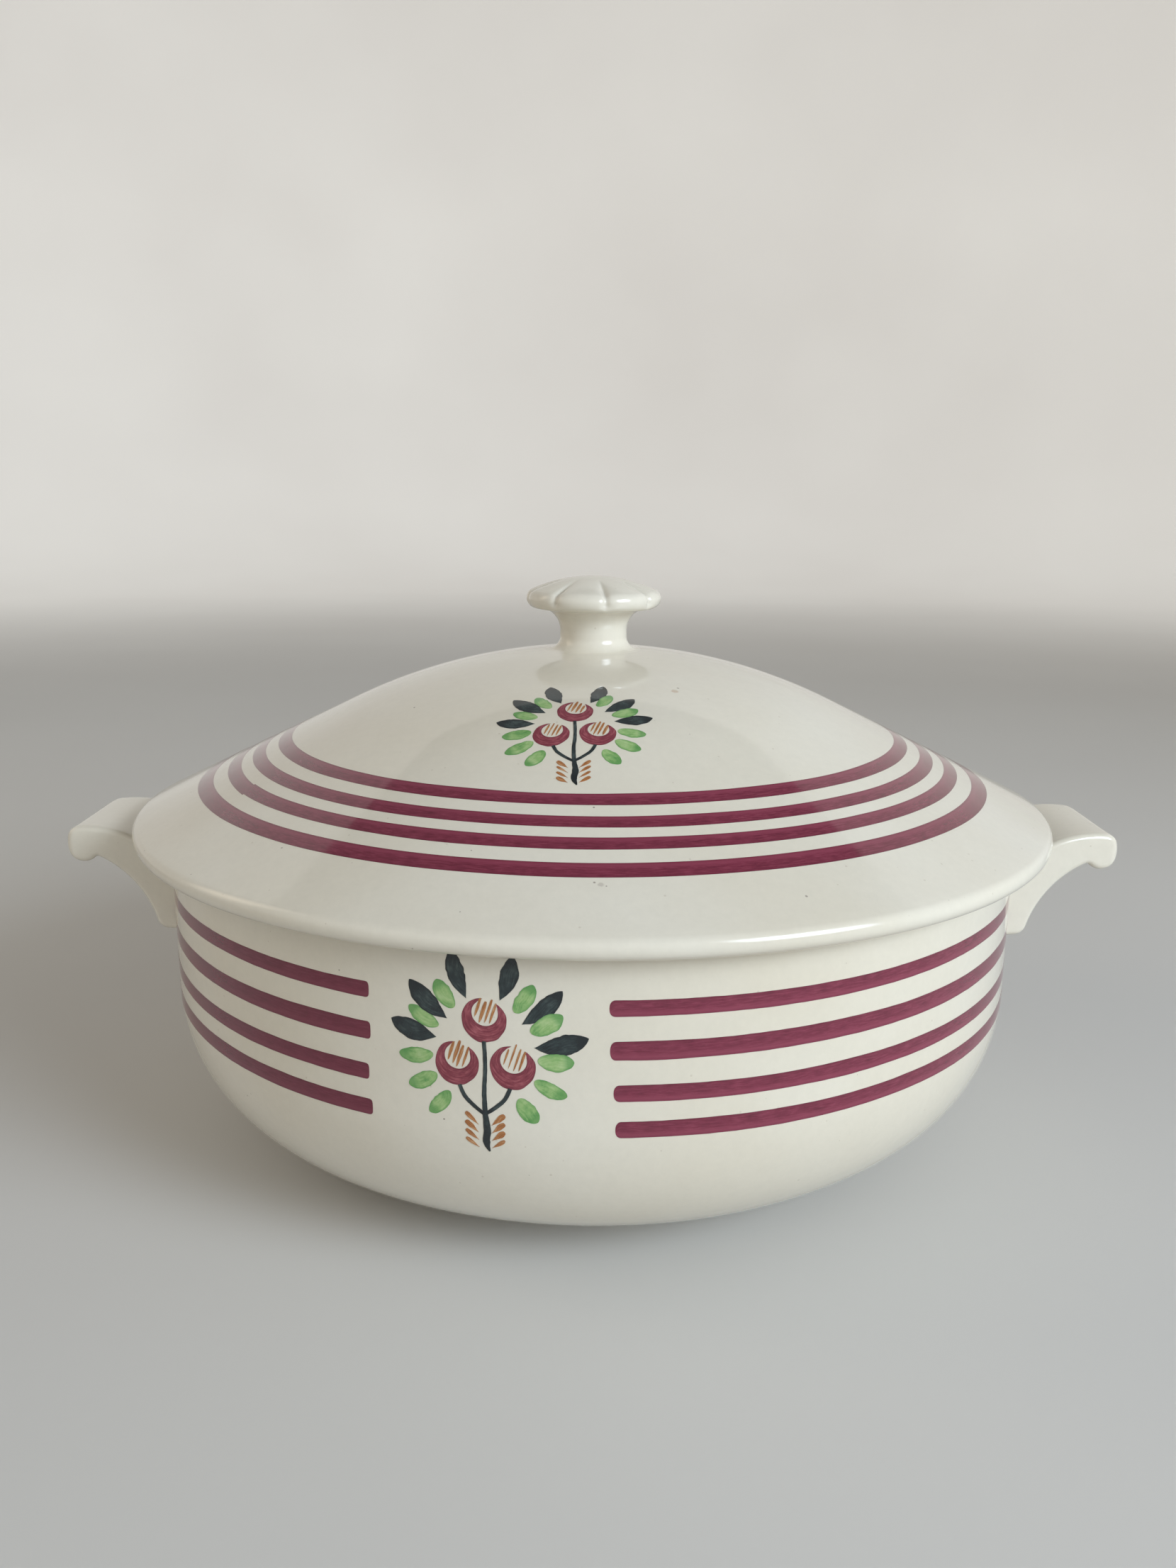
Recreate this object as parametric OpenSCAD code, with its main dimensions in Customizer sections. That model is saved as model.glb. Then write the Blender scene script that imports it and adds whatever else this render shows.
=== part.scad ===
// Soup tureen: a round bowl on a foot ring, with two lug handles, and a loose domed lid with a
// mushroom knob. The origin is the centre of the foot ring, on the table. +Z is up, and +X runs
// through the right handle. Millimetres.

/* [Bowl] */
// Outer diameter of the bowl at its rim
bowl_d = 242; // [230:1:250]
// Height of the rim above the table
rim_h = 93.5; // [92:0.5:110]
// How far the wall draws in from the rim down to the belly curve, on the radius
wall_draw = 0.3; // [0:0.1:2]
// Radius of the curve between the wall and the underside
belly_r = 42; // [38:1:44]
// Height of the underside above the table
belly_h = 8; // [7:0.5:12]
// Thickness of the wall
wall_t = 6; // [5:0.5:8]
// Radius that rounds the rim's two edges
rim_round = 2; // [1:0.25:2.25]

/* [Foot ring] */
// Outer diameter of the foot ring
foot_d = 142; // [110:1:150]
// Width of the face that rests on the table
foot_w = 5; // [4:0.5:8]
// How much wider the foot ring is at its root than at its face, on each side
foot_flare = 1; // [0:0.25:2]
// Height of the recess inside the foot ring
recess_h = 6.5; // [5:0.25:7]

/* [Lid] */
// Outer diameter of the lid
lid_d = 262; // [260:1:270]
// Angle of the lid's straight slope above the horizontal
lid_slope = 26; // [22:0.5:28]
// Radius at which the slope turns into the dome
dome_edge_r = 72; // [60:1:85]
// Thickness of the lid's shell
lid_t = 5.5; // [4.5:0.5:7]
// Radius of the lid's rounded lip
lip_r = 3; // [2.8:0.1:3.6]
// How far the lip hangs below the bowl's rim
lip_drop = 2; // [1:0.1:2.4]
// Width of the lid's seat past the bowl's outer wall
seat_past = 3.2; // [2:0.1:3.4]

/* [Locating flange] */
// Gap all round between the flange and the inside of the bowl
flange_gap = 2; // [1:0.25:3]
// Thickness of the flange
flange_t = 5; // [4:0.5:6]
// How far the flange reaches below the bowl's rim
flange_h = 8; // [5:0.5:12]

/* [Knob] */
// Diameter of the knob's cap
cap_d = 39; // [34:0.5:44]
// Diameter of the knob's neck
neck_d = 19.4; // [16:0.2:21]
// Height of the knob above its seat on the lid
knob_h = 21.1; // [20:0.1:25]
// Rise of the domed top of the cap
cap_rise = 3.6; // [3:0.1:5]
// Radius of the cap's edge
cap_edge_r = 2.8; // [2:0.1:2.8]
// Radius of the hollow curve under the cap
under_cap_r = 6.5; // [5:0.1:6.5]
// Radius of the fillet between the neck and the lid
neck_fillet = 3.6; // [2:0.1:4]

/* [Handles] */
// Length over the two handles
handle_span = 304; // [300:1:308]
// Width of a handle where it leaves the bowl
handle_root_w = 46; // [40:1:56]
// Width of a handle at its tip
handle_tip_w = 36; // [30:1:39]
// Radius of the rolled edge at the tip
roll_r = 5.25; // [4.5:0.25:6]
// Height of the top of the rolled edge
handle_top = 91; // [89:0.5:91]
// Radius of the handle's arched top
handle_arch_r = 34; // [32:1:40]
// Radius of the hollow curve under the handle
handle_hollow_r = 28.5; // [26.5:1:30.5]
// Height of the handle's lowest point
handle_low = 62; // [61:0.5:63]
// Radius that rounds the handle's lowest edge
handle_low_round = 3.5; // [2:0.5:4]
// Radius of the two tip corners, seen from above
handle_corner_r = 3.5; // [3:0.5:8]

/* [Hidden] */

$fn = 96;
glaze = [0.90, 0.88, 0.81];
glaze_lid = [0.91, 0.89, 0.82];
arc_steps = 14;                  // chords in a large arc
edge_steps = 6;                  // chords in a small rounding
foot_chamfer = 1;                // bevel on both edges of the foot ring's face
seat_chamfer = 0.6;              // bevel on both edges of the lid's seat
flange_round = 1.5;              // rounding of the flange's lower edges
spare = 5;                       // how far a cutting shape reaches past what it cuts

rim_r = bowl_d / 2;
belly_wall_r = rim_r - wall_draw;
belly_c = [belly_wall_r - belly_r, belly_h + belly_r];     // centre of the belly curve
inner_rim_r = rim_r - wall_t;
foot_r = foot_d / 2;

lip_c = [lid_d / 2 - lip_r, rim_h - lip_drop + lip_r];     // centre of the lip's round edge
slope_in = [sin(lid_slope), cos(lid_slope)];               // the slope's outward normal
slope_foot = lip_c + lip_r * slope_in;                     // where the slope meets the lip
dome_edge = [dome_edge_r, slope_foot.y + (slope_foot.x - dome_edge_r) * tan(lid_slope)];
dome_r = dome_edge_r / sin(lid_slope);
dome_cz = dome_edge.y - dome_r * cos(lid_slope);           // height of the dome's centre
dome_inner_r = dome_r - lid_t;

cap_r = cap_d / 2;
neck_r = neck_d / 2;
knob_base_r = neck_r + neck_fillet;
knob_seat_z = dome_cz + sqrt(dome_r * dome_r - knob_base_r * knob_base_r);
knob_top = knob_seat_z + knob_h;
cap_edge_c = [cap_r - cap_edge_r, knob_top - cap_rise - cap_edge_r];
cap_under_z = cap_edge_c.y - cap_edge_r;
cap_drop = knob_top - cap_edge_c.y;
cap_dome_r = (cap_edge_c.x * cap_edge_c.x + cap_drop * cap_drop - cap_edge_r * cap_edge_r)
    / (2 * cap_rise);                                      // dome that runs smoothly into the edge
cap_dome_span = asin(cap_edge_c.x / (cap_dome_r - cap_edge_r));  // from the axis to the edge

flange_r = inner_rim_r - flange_gap;
flange_in_r = flange_r - flange_t;
seat_r = rim_r + seat_past;

tip_x = handle_span / 2;
roll_c = [tip_x - roll_r, handle_top - roll_r];            // centre of the rolled edge
arch_lean = 6.5;                                           // where the arch meets the roll, from upright
arch_c = roll_c - (handle_arch_r - roll_r) * [sin(arch_lean), cos(arch_lean)];
hollow_out = 31.5;                                         // from the rim out to the hollow's centre
hollow_drop = 6;                                           // from handle_low down to that centre
hollow_c = [rim_r + hollow_out, handle_low - hollow_drop];
inside_wall_x = rim_r - wall_t / 2;                        // handle blanks start inside the wall

// Points along an arc about c, from angle a0 to a1
function arc(c, r, a0, a1, steps = arc_steps) =
    [for (i = [0 : steps]) let (a = a0 + (a1 - a0) * i / steps) c + r * [cos(a), sin(a)]];

// The points of a curve but for the first, which ends the curve before it
function after_first(points) = [for (i = [1 : len(points) - 1]) points[i]];

// Angle, seen from c0, of the crossing of two circles that lies clockwise of the line to c1
function crossing_angle(c0, r0, c1, r1) =
    let (v = c1 - c0, d = norm(v))
    atan2(v.y, v.x) - acos((r0 * r0 + d * d - r1 * r1) / (2 * r0 * d));

// ---- Bowl ----

// Outside of the bowl from the rim's outer edge down to the foot ring, as (radius, height)
function bowl_outside() = concat(
    arc([rim_r - rim_round, rim_h - rim_round], rim_round, 90, 0, edge_steps),
    arc(belly_c, belly_r, 0, -90));

function foot_outline() = [
    [foot_r + foot_flare, belly_h],
    [foot_r, foot_chamfer],
    [foot_r - foot_chamfer, 0],
    [foot_r - foot_w + foot_chamfer, 0],
    [foot_r - foot_w, foot_chamfer],
    [foot_r - foot_w - foot_flare, recess_h],
    [0, recess_h]];

function bowl_inside() = concat(
    [[0, belly_h + wall_t]],
    arc(belly_c, belly_r - wall_t, -90, 0),
    arc([inner_rim_r + rim_round, rim_h - rim_round], rim_round, 180, 90, edge_steps));

module bowl() {
    color(glaze)
    rotate_extrude()
    polygon(concat(bowl_outside(), foot_outline(), bowl_inside()));
}

// The bowl's outer shape as a filled solid, which trims the handles' roots
module bowl_filled() {
    rotate_extrude()
    polygon(concat([[0, rim_h]], bowl_outside(), [[0, belly_h]]));
}

// ---- Handles ----

// Side view of the right handle, as (x, z): arched top, rolled tip, hollow underside
function handle_side() =
    let (
        arch_start = 180 - acos((arch_c.x - inside_wall_x) / handle_arch_r),
        roll_notch = crossing_angle(roll_c, roll_r, hollow_c, handle_hollow_r),
        notch = roll_c + roll_r * [cos(roll_notch), sin(roll_notch)],
        hollow_start = atan2(notch.y - hollow_c.y, notch.x - hollow_c.x),
        low_cz = handle_low + handle_low_round,
        low_reach = handle_hollow_r + handle_low_round,
        low_rise = low_cz - hollow_c.y,
        low_c = [hollow_c.x - sqrt(low_reach * low_reach - low_rise * low_rise), low_cz],
        hollow_end = 180 - asin(low_rise / low_reach))
    concat(
        [[inside_wall_x, handle_low]],
        arc(arch_c, handle_arch_r, arch_start, 90 - arch_lean),
        after_first(arc(roll_c, roll_r, 90 - arch_lean, 0, edge_steps)),
        after_first(arc(roll_c, roll_r, 0, roll_notch)),
        after_first(arc(hollow_c, handle_hollow_r, hollow_start, hollow_end)),
        after_first(arc(low_c, handle_low_round, hollow_end - 180, -90, edge_steps)));

// Plan of the right handle: tapered, with rounded tip corners
module handle_plan() {
    taper = atan2((handle_root_w - handle_tip_w) / 2, tip_x - rim_r);
    corner_x = tip_x - handle_corner_r;
    side_y = handle_tip_w / 2 + (tip_x - corner_x) * tan(taper);
    corner_y = side_y - handle_corner_r / cos(taper);
    root_y = handle_root_w / 2 + (rim_r - inside_wall_x) * tan(taper);
    half = concat([[inside_wall_x, root_y]],
                  arc([corner_x, corner_y], handle_corner_r, 90 - taper, 0, edge_steps));
    polygon(concat(half, [for (i = [len(half) - 1 : -1 : 0]) [half[i].x, -half[i].y]]));
}

module handle() {
    difference() {
        intersection() {
            rotate([90, 0, 0])
            linear_extrude(height = handle_root_w + 2 * spare, center = true)
            polygon(handle_side());
            translate([0, 0, handle_low - spare])
            linear_extrude(height = handle_top - handle_low + 2 * spare)
            handle_plan();
        }
        bowl_filled();
    }
}

module right_handle() {
    color(glaze)
    handle();
}

module left_handle() {
    color(glaze)
    mirror([1, 0, 0])
    handle();
}

// ---- Lid ----

// Top of the lid from the knob's seat out to the lip, and round the lip to its lowest point
function lid_top() = concat(
    [[0, knob_seat_z]],
    arc([0, dome_cz], dome_r, 90 - asin(knob_base_r / dome_r), 90 - lid_slope),
    arc(lip_c, lip_r, 90 - lid_slope, 0, edge_steps),
    after_first(arc(lip_c, lip_r, 0, -90, edge_steps)));

// Underside from the lip in to the axis: seat, locating flange, and the shell's inner face
function lid_under() =
    let (
        inner_edge = [dome_edge_r - lid_t * slope_in.x, dome_edge.y - lid_t * slope_in.y],
        flange_top = inner_edge.y - (flange_in_r - inner_edge.x) * tan(lid_slope),
        round_z = rim_h - flange_h + flange_round)
    concat(
        [[seat_r, rim_h - lip_drop / 2],
         [seat_r - seat_chamfer, rim_h],
         [flange_r + seat_chamfer, rim_h],
         [flange_r, rim_h - seat_chamfer]],
        arc([flange_r - flange_round, round_z], flange_round, 0, -90, edge_steps),
        arc([flange_in_r + flange_round, round_z], flange_round, -90, -180, edge_steps),
        [[flange_in_r, flange_top]],
        arc([0, dome_cz], dome_inner_r, 90 - lid_slope, 90));

module lid() {
    color(glaze_lid)
    rotate_extrude()
    polygon(concat(lid_top(), lid_under()));
}

// ---- Knob ----

// Outline from the foot of the neck, up under the cap, round its edge and over the top
function knob_outline() = concat(
    [[0, knob_seat_z]],
    arc([knob_base_r, knob_seat_z + neck_fillet], neck_fillet, -90, -180, edge_steps),
    arc([neck_r + under_cap_r, cap_under_z - under_cap_r], under_cap_r, 180, 90),
    arc(cap_edge_c, cap_edge_r, -90, 0, edge_steps),
    after_first(arc(cap_edge_c, cap_edge_r, 0, 90 - cap_dome_span, edge_steps)),
    after_first(arc([0, knob_top - cap_dome_r], cap_dome_r, 90 - cap_dome_span, 90)));

module knob() {
    color(glaze_lid)
    rotate_extrude()
    polygon(knob_outline());
}

bowl();
right_handle();
left_handle();
lid();
knob();
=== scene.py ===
import math
import random

import bmesh
import bpy
from mathutils import Matrix, Vector, noise


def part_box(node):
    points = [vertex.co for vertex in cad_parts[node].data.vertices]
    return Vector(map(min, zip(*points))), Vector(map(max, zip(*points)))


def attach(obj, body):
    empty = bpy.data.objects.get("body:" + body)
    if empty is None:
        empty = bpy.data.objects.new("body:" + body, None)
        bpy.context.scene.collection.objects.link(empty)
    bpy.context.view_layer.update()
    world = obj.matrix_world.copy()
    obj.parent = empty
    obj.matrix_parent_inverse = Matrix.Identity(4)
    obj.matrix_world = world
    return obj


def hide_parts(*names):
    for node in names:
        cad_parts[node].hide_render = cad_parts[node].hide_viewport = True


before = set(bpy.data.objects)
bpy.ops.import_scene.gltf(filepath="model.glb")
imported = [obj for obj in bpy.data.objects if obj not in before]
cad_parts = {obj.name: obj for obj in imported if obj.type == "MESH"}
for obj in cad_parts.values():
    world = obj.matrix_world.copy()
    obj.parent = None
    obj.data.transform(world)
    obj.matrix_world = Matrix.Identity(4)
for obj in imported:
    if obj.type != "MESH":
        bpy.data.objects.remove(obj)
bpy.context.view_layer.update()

MM = 0.001


def corners(node):
    """Lowest and highest corners of a CAD node, in millimetres."""
    low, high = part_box(node)
    return low / MM, high / MM


# ---- Sizes: the CAD's own where a box gives them, and the same shapes as the CAD's otherwise ----

bowl_high = corners("bowl")[1]
lid_low, lid_high = corners("lid")
knob_low, knob_high = corners("knob")
handle_low, handle_high = corners("right_handle")

rim_r = bowl_high.x
rim_z = bowl_high.z
wall_draw = 0.3            # the wall's draw-in from the rim to the belly, on the radius
wall_t = 6
rim_round = 2
belly_r = 42
belly_h = 8                # height of the underside
belly_wall_r = rim_r - wall_draw
belly_x = belly_wall_r - belly_r
belly_z = belly_h + belly_r
foot_r = 71
foot_w = 5
recess_h = 6.5

lid_r = lid_high.x
lip_r = 3
lip_drop = 2
lid_slope = math.radians(26)
lid_t = 5.5
dome_edge_r = 72
lip_x = lid_r - lip_r
lip_z = rim_z - lip_drop + lip_r
slope_foot_x = lip_x + lip_r * math.sin(lid_slope)
slope_foot_z = lip_z + lip_r * math.cos(lid_slope)
dome_edge_z = slope_foot_z + (slope_foot_x - dome_edge_r) * math.tan(lid_slope)
dome_r = dome_edge_r / math.sin(lid_slope)
dome_z = dome_edge_z - dome_r * math.cos(lid_slope)
seat_past = 3.2            # width of the lid's seat past the bowl's wall
flange_gap = 2
flange_t = 5
seat_r = rim_r + seat_past
flange_r = rim_r - wall_t - flange_gap
flange_in_r = flange_r - flange_t
flange_round = 1.5

knob_seat_z = knob_low.z
knob_top = knob_high.z
cap_r = knob_high.x
cap_edge_r = 2.8
cap_rise = 3.6
neck_r = 9.7
neck_fillet = 3.6
under_cap_r = 6.5

tip_x = handle_high.x
handle_top = handle_high.z
handle_base = handle_low.z
handle_root_w = 46
handle_tip_w = 36
roll_r = 5.25
arch_r = 34
arch_lean = math.radians(6.5)
hollow_r = 28.5
hollow_x = rim_r + 31.5
hollow_z = handle_base - 6
low_round = 3.5
corner_r = 3.5
notch_round = 1.3          # softens the crease between the rolled tip and the hollow
edge_round = 1.6           # rounds the edges of a handle's two end faces

SEGMENTS = 288             # facets round the bowl and the lid


# ---- Shape helpers ----

def arc(cx, cz, r, start, end, steps):
    """Points along an arc about (cx, cz), from angle start to angle end in degrees."""
    angles = [math.radians(start + (end - start) * i / steps) for i in range(steps + 1)]
    return [(cx + r * math.cos(a), cz + r * math.sin(a)) for a in angles]


def dense(points, step):
    """The same outline with its long straight stretches cut into lengths under step."""
    out = [points[0]]
    for (x0, z0), (x1, z1) in zip(points, points[1:]):
        length = math.hypot(x1 - x0, z1 - z0)
        if length < 1e-6:
            continue
        parts = max(1, math.ceil(length / step))
        out += [(x0 + (x1 - x0) * i / parts, z0 + (z1 - z0) * i / parts) for i in range(1, parts + 1)]
    return out


def ripple(x, y, z):
    """How far hand work leaves the glaze below its true surface here, from 0 to 0.16 mm."""
    slow = noise.noise(Vector((x, y, z)) * 0.022)
    quick = noise.noise(Vector((x, y, z)) * 0.085)
    return 0.08 + 0.06 * slow + 0.02 * quick


def make_object(name, verts, faces, material):
    """A mesh object from points in millimetres, with its faces turned outwards."""
    mesh = bpy.data.meshes.new(name)
    mesh.from_pydata([Vector(v) * MM for v in verts], [], faces)
    obj = bpy.data.objects.new(name, mesh)
    bpy.context.scene.collection.objects.link(obj)
    mesh.materials.append(material)
    bm = bmesh.new()
    bm.from_mesh(mesh)
    bmesh.ops.recalc_face_normals(bm, faces=bm.faces)
    bm.to_mesh(mesh)
    bm.free()
    mesh.polygons.foreach_set("use_smooth", [True] * len(mesh.polygons))
    return obj


def revolve(name, outline, segments, material, sink):
    """A closed body turned about Z. sink(x, y, z) says how far each point lies under the outline."""
    normals = outline_normals(outline)
    verts, rings, faces = [], [], []
    for (r, z), (nr, nz) in zip(outline, normals):
        if r < 1e-6:
            rings.append([len(verts)])
            verts.append((0, 0, z))
            continue
        rings.append(range(len(verts), len(verts) + segments))
        for k in range(segments):
            a = math.tau * k / segments
            c, s = math.cos(a), math.sin(a)
            d = sink(r * c, r * s, z)
            verts.append(((r - nr * d) * c, (r - nr * d) * s, z - nz * d))
    for low, high in zip(rings, rings[1:]):
        for k in range(segments):
            n = (k + 1) % segments
            if len(low) == 1:
                faces.append((low[0], high[n], high[k]))
            elif len(high) == 1:
                faces.append((low[k], low[n], high[0]))
            else:
                faces.append((low[k], low[n], high[n], high[k]))
    return make_object(name, verts, faces, material)


def outline_normals(outline):
    """Unit normals of an outline that runs with its solid on the left."""
    out = []
    for i in range(len(outline)):
        x0, z0 = outline[max(i - 1, 0)]
        x1, z1 = outline[min(i + 1, len(outline) - 1)]
        length = math.hypot(x1 - x0, z1 - z0)
        out.append(((z1 - z0) / length, (x0 - x1) / length))
    return out


# ---- Materials ----

GLAZE_RELIEF = 0.10        # depth of the glaze's orange peel and waves


def new_material(name):
    """A node material, with its node tree and its shader."""
    mat = bpy.data.materials.new(name)
    mat.use_nodes = True
    tree = mat.node_tree
    shader = tree.nodes["Principled BSDF"]
    return mat, tree, shader


def node(tree, kind, inputs=None, **settings):
    """Adds a node. An input is a number or colour, or the socket of another node."""
    made = tree.nodes.new(kind)
    for key, value in settings.items():
        setattr(made, key, value)
    for key, value in (inputs or {}).items():
        if isinstance(value, bpy.types.NodeSocket):
            tree.links.new(value, made.inputs[key])
        else:
            made.inputs[key].default_value = value
    return made


def ramp(tree, value, stops):
    """A colour ramp over value. Each stop is a position with a grey level or a colour."""
    made = node(tree, "ShaderNodeValToRGB", {"Fac": value})
    elements = made.color_ramp.elements
    while len(elements) < len(stops):
        elements.new(0.5)
    for element, (position, colour) in zip(elements, stops):
        element.position = position
        element.color = (colour,) * 3 + (1,) if isinstance(colour, (int, float)) else (*colour, 1)
    return made.outputs["Color"]


def blend(tree, amount, low, high, mode="MIX"):
    """Colour low turned into colour high by amount."""
    made = node(tree, "ShaderNodeMix", data_type="RGBA", blend_type=mode)
    for index, value in ((0, amount), (6, low), (7, high)):
        if isinstance(value, bpy.types.NodeSocket):
            tree.links.new(value, made.inputs[index])
        else:
            made.inputs[index].default_value = (*value, 1) if isinstance(value, tuple) else value
    return made.outputs[2]


def sums(tree, kind, first, second):
    """One step of arithmetic on two numbers or sockets."""
    made = node(tree, "ShaderNodeMath", {0: first, 1: second}, operation=kind)
    return made.outputs[0]


def fractal(tree, where, scale, detail=3.0, rough=0.5):
    """Smooth noise from 0 to 1, with scale bumps to the metre."""
    made = node(tree, "ShaderNodeTexNoise", {"Vector": where, "Scale": scale, "Detail": detail,
                                             "Roughness": rough})
    return made.outputs["Fac"]


def specks(tree, where, scale, radius, share):
    """Sparse round dots: 1 inside a dot and 0 elsewhere. share is how many cells hold one."""
    cells = node(tree, "ShaderNodeTexVoronoi", {"Vector": where, "Scale": scale, "Randomness": 1.0})
    chosen = node(tree, "ShaderNodeSeparateColor", {"Color": cells.outputs["Color"]})
    size = sums(tree, "MULTIPLY", chosen.outputs["Green"], radius)
    inside = sums(tree, "LESS_THAN", cells.outputs["Distance"], size)
    picked = sums(tree, "LESS_THAN", chosen.outputs["Red"], share)
    return sums(tree, "MULTIPLY", inside, picked)


def glaze_surface(tree, shader, where):
    """The clear glossy skin over a body colour: slight orange peel and slow waves. Returns its gloss."""
    peel = fractal(tree, where, 480.0, 2.0)
    waves = fractal(tree, where, 34.0, 1.0)
    height = sums(tree, "ADD", sums(tree, "MULTIPLY", peel, 0.03), waves)
    bump = node(tree, "ShaderNodeBump", {"Height": height, "Strength": 0.5, "Distance": GLAZE_RELIEF * MM})
    gloss = ramp(tree, fractal(tree, where, 60.0, 4.0), [(0.3, 0.05), (0.75, 0.11)])
    tree.links.new(bump.outputs["Normal"], shader.inputs["Normal"])
    shader.inputs["IOR"].default_value = 1.52
    shader.inputs["Coat Weight"].default_value = 0.2
    shader.inputs["Coat Roughness"].default_value = 0.03
    return gloss


def glaze_material(name, warm, pale, shift, marks=()):
    """Cream glaze that pools warmer here and there, with iron specks and a few marks of use."""
    mat, tree, shader = new_material(name)
    place = node(tree, "ShaderNodeTexCoord").outputs["Object"]
    where = node(tree, "ShaderNodeVectorMath", {0: place, 1: (shift, shift * 0.7, 0)},
                 operation="ADD").outputs[0]
    slow = ramp(tree, fractal(tree, where, 11.0, 3.0), [(0.32, 0.0), (0.7, 1.0)])
    grain = ramp(tree, fractal(tree, where, 420.0, 4.0, 0.7), [(0.3, 0.975), (0.7, 1.015)])
    colour = blend(tree, 1.0, blend(tree, slow, pale, warm), grain, "MULTIPLY")
    faint = sums(tree, "MULTIPLY", specks(tree, where, 330.0, 0.11, 0.35), 0.30)
    strong = sums(tree, "MULTIPLY", specks(tree, where, 210.0, 0.075, 0.16), 0.70)
    colour = blend(tree, faint, colour, (0.40, 0.33, 0.24))
    colour = blend(tree, strong, colour, (0.12, 0.09, 0.07))
    for spot, radius, shade, strength in marks:
        ragged = sums(tree, "MULTIPLY", fractal(tree, where, 900.0, 3.0), radius * MM)
        away = node(tree, "ShaderNodeVectorMath", {0: place, 1: Vector(spot) * MM}, operation="DISTANCE")
        reach = sums(tree, "ADD", away.outputs["Value"], ragged)
        mask = node(tree, "ShaderNodeMapRange", {"Value": reach, "From Min": radius * MM * 1.45,
                                                 "From Max": radius * MM * 1.05, "To Max": strength})
        colour = blend(tree, mask.outputs["Result"], colour, shade)
    gloss = glaze_surface(tree, shader, where)
    # the foot ring's face is wiped clean of glaze before firing
    height = node(tree, "ShaderNodeSeparateXYZ", {"Vector": place}).outputs["Z"]
    wobble = sums(tree, "MULTIPLY", fractal(tree, where, 90.0, 3.0), 0.0009)
    bare = sums(tree, "LESS_THAN", sums(tree, "ADD", height, wobble), 0.0013)
    clay = ramp(tree, fractal(tree, where, 700.0, 5.0, 0.7),
                [(0.3, (0.50, 0.40, 0.28)), (0.7, (0.70, 0.60, 0.45))])
    tree.links.new(blend(tree, bare, colour, clay), shader.inputs["Base Color"])
    tree.links.new(blend(tree, bare, gloss, (0.85, 0.85, 0.85)), shader.inputs["Roughness"])
    return mat


def paint_material(name, thin, body, thick, streak, pool, pale_edge=0.0):
    """Brushed pigment under the glaze. The mesh's brush attribute runs along and across a stroke."""
    mat, tree, shader = new_material(name)
    place = node(tree, "ShaderNodeTexCoord").outputs["Object"]
    brush = node(tree, "ShaderNodeAttribute", attribute_name="brush", attribute_type="GEOMETRY")
    parts = node(tree, "ShaderNodeSeparateXYZ", {"Vector": brush.outputs["Vector"]})
    stretched = node(tree, "ShaderNodeCombineXYZ", {
        "X": sums(tree, "MULTIPLY", parts.outputs["X"], 0.11), "Y": parts.outputs["Y"]}).outputs[0]
    hairs = ramp(tree, fractal(tree, stretched, 2.6, 4.0, 0.65), [(0.34, 0.0), (0.66, 1.0)])
    cloud = ramp(tree, fractal(tree, place, 260.0, 4.0, 0.6), [(0.35, 0.0), (0.65, 1.0)])
    mixed = blend(tree, streak, cloud, hairs)
    if pale_edge:
        upper = ramp(tree, parts.outputs["Z"], [(0.55, 0.0), (0.80, pale_edge)])
        mixed = blend(tree, upper, mixed, (0.0, 0.0, 0.0))
    colour = blend(tree, ramp(tree, mixed, [(0.0, 0.0), (0.5, 1.0)]), thin, body)
    colour = blend(tree, ramp(tree, mixed, [(0.5, 0.0), (1.0, 1.0)]), colour, thick)
    # pigment gathers where a stroke dries last: along its edges, and at the end where it lifts
    edge = ramp(tree, parts.outputs["Z"], [(0.02, pool), (0.16, 0.0), (0.84, 0.0), (0.98, pool)])
    colour = blend(tree, edge, colour, thick)
    lift = node(tree, "ShaderNodeAttribute", attribute_name="pool", attribute_type="GEOMETRY")
    end = ramp(tree, lift.outputs["Fac"], [(0.66, 0.0), (0.82, pool)])
    colour = blend(tree, end, colour, thick)
    tree.links.new(colour, shader.inputs["Base Color"])
    tree.links.new(glaze_surface(tree, shader, place), shader.inputs["Roughness"])
    return mat


def lid_height(x, y):
    """Height of the lid's top above the table at a point of its outer slope or its dome."""
    r = math.hypot(x, y)
    if r < dome_edge_r:
        return dome_z + math.sqrt(dome_r ** 2 - r * r)
    return dome_edge_z - (r - dome_edge_r) * math.tan(lid_slope)


def on_lid(x, y):
    """The point of the lid's top that lies over (x, y)."""
    return x, y, lid_height(x, y)


warm_cream, pale_cream = (0.665, 0.612, 0.500), (0.725, 0.690, 0.600)
stain, pit, smudge = (0.42, 0.24, 0.12), (0.10, 0.07, 0.05), (0.45, 0.40, 0.34)
bowl_glaze = glaze_material("bowl_glaze", warm_cream, pale_cream, 0.0)
handle_glaze = glaze_material("handle_glaze", warm_cream, pale_cream, 0.3, (
    ((tip_x - 10, -handle_tip_w / 2, handle_top - 0.3), 0.45, pit, 0.7),
    ((-tip_x + 7, -handle_tip_w / 2 + 0.5, handle_top - 0.5), 0.5, stain, 0.8)))
lid_glaze = glaze_material("lid_glaze", warm_cream, pale_cream, 0.7, (
    (on_lid(21.5, -41.0), 1.3, stain, 0.45), (on_lid(22.5, -38.5), 0.5, pit, 0.5),
    (on_lid(2.0, -115.0), 0.9, smudge, 0.6), (on_lid(0.6, -114.4), 0.35, pit, 0.6),
    (on_lid(3.2, -115.4), 0.25, pit, 0.6), (on_lid(-27.0, -103.0), 0.25, pit, 0.7),
    (on_lid(47.0, -112.0), 0.4, pit, 0.6), (on_lid(-73.0, -88.0), 0.35, pit, 0.6)))
knob_glaze = glaze_material("knob_glaze", warm_cream, pale_cream, 1.1, (
    ((-3.8, -neck_r - 0.6, knob_seat_z + 10.5), 0.4, pit, 0.8),))
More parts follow.
